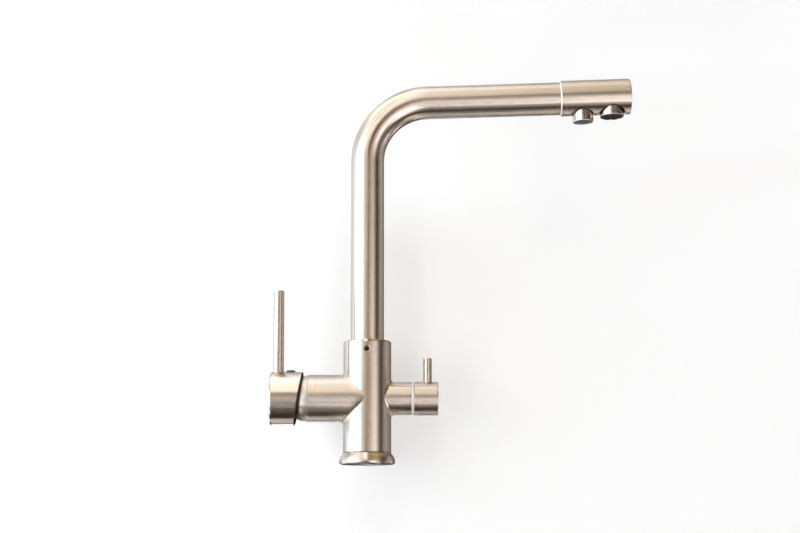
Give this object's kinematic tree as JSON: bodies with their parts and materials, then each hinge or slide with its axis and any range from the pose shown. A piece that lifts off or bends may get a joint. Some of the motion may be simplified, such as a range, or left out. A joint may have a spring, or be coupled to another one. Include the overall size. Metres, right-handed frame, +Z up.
{
  "type": "three way filtered water tap",
  "caption": "Tall kitchen mixer tap with a side lever, a second small handle for filtered water, and a swivel spout with separate outlets for mixed and filtered water.",
  "frame": {"origin": "centre of the base's underside, on the face that meets the sink deck", "axes": "+Z up along the trunk, +X towards the spout's outlets, -X towards the mixer lever, -Y towards the side with the spout's grub screw"},
  "size_m": [0.3293, 0.05, 0.3541],
  "materials": {
    "brushed_nickel": "brushed nickel, warm, fine brushing around each cylinder",
    "satin_nickel": "satin nickel, finer and brighter than the body",
    "polished_nickel": "polished nickel",
    "brass": "turned brass",
    "stainless_steel": "turned stainless steel",
    "black_steel": "blackened steel",
    "ceramic": "lapped alumina",
    "rubber": "matt",
    "cartridge_plastic": "moulded grey plastic",
    "bearing_plastic": "moulded dark plastic",
    "white_plastic": "white, smooth",
    "tube_plastic": "extruded, natural",
    "index_plastic": "dark grey, smooth",
    "black_plastic": "moulded black",
    "grey_plastic": "moulded dark grey"
  },
  "bodies": {
    "tap_body": {"main_body": "brushed_nickel", "base_ring": "brushed_nickel", "base_gasket": "rubber", "spout_bearing_ring": "bearing_plastic", "spout_grub_screw": "black_steel", "filter_nozzle": "brass", "filter_nozzle_seal": "rubber", "cartridge_base": "cartridge_plastic", "cartridge_port_seals": "rubber", "fixed_ceramic_disc": "ceramic", "cartridge_housing": "cartridge_plastic", "cartridge_nut": "brass", "dome_cover": "brushed_nickel", "filter_valve_body": "brass", "filter_valve_seal": "rubber", "filter_disc_gasket": "rubber", "filter_fixed_disc": "ceramic", "filter_gap_ring": "white_plastic"},
    "mixer_turntable": {"stem_guide": "cartridge_plastic", "stem_pivot_pin": "stainless_steel"},
    "mixer_handle": {"lever_stem": "stainless_steel", "handle_cap": "satin_nickel", "handle_grub_screw": "black_steel", "index_plug": "index_plastic", "lever_rod": "satin_nickel"},
    "disc_slide": {"disc_carrier": "cartridge_plastic", "moving_ceramic_disc": "ceramic"},
    "filter_handle": {"filter_spindle": "brass", "spindle_seal": "rubber", "spindle_circlip": "stainless_steel", "filter_moving_disc": "ceramic", "filter_knob": "brushed_nickel", "filter_pin_lever": "satin_nickel", "filter_knob_screw": "black_steel"},
    "spout": {"swivel_adapter": "brass", "swivel_seals": "rubber", "spout_tube": "brushed_nickel", "filter_inner_tube": "tube_plastic", "head_spigot": "brass", "head_seal": "rubber", "head_collar": "brushed_nickel", "spout_head": "brushed_nickel", "head_core": "bearing_plastic", "inner_tube_seal": "rubber", "filter_outlet_sleeve": "polished_nickel", "filter_aerator_seal": "rubber", "filter_aerator_insert": "grey_plastic", "mixed_outlet_sleeve": "polished_nickel", "mixed_aerator_seal": "rubber", "mixed_aerator_screen": "stainless_steel", "mixed_aerator_insert": "black_plastic"}
  },
  "joints": [
    {"name": "spout_swivel", "type": "hinge", "parent": "tap_body", "child": "spout", "pos_m": [0, 0, 0.0955], "axis": [0, 0, 1], "continuous": true},
    {"name": "mixer_temperature", "type": "hinge", "parent": "tap_body", "child": "mixer_turntable", "pos_m": [-0.0528, 0, 0.0586], "axis": [1, 0, 0], "range_deg": [-50, 50]},
    {"name": "mixer_lift", "type": "hinge", "parent": "mixer_turntable", "child": "mixer_handle", "pos_m": [-0.0528, 0, 0.0586], "axis": [0, -1, 0], "range_deg": [0, 22]},
    {"name": "disc_travel", "type": "slide", "parent": "mixer_turntable", "child": "disc_slide", "axis": [0, 0, 1], "range_m": [0, 0.005]},
    {"name": "filter_turn", "type": "hinge", "parent": "tap_body", "child": "filter_handle", "pos_m": [0.04, 0, 0.0586], "axis": [-1, 0, 0], "range_deg": [0, 90]}
  ],
  "couplings": [
    {"joint": "disc_travel", "follows": "mixer_lift", "m_per_rad": 0.013}
  ]
}
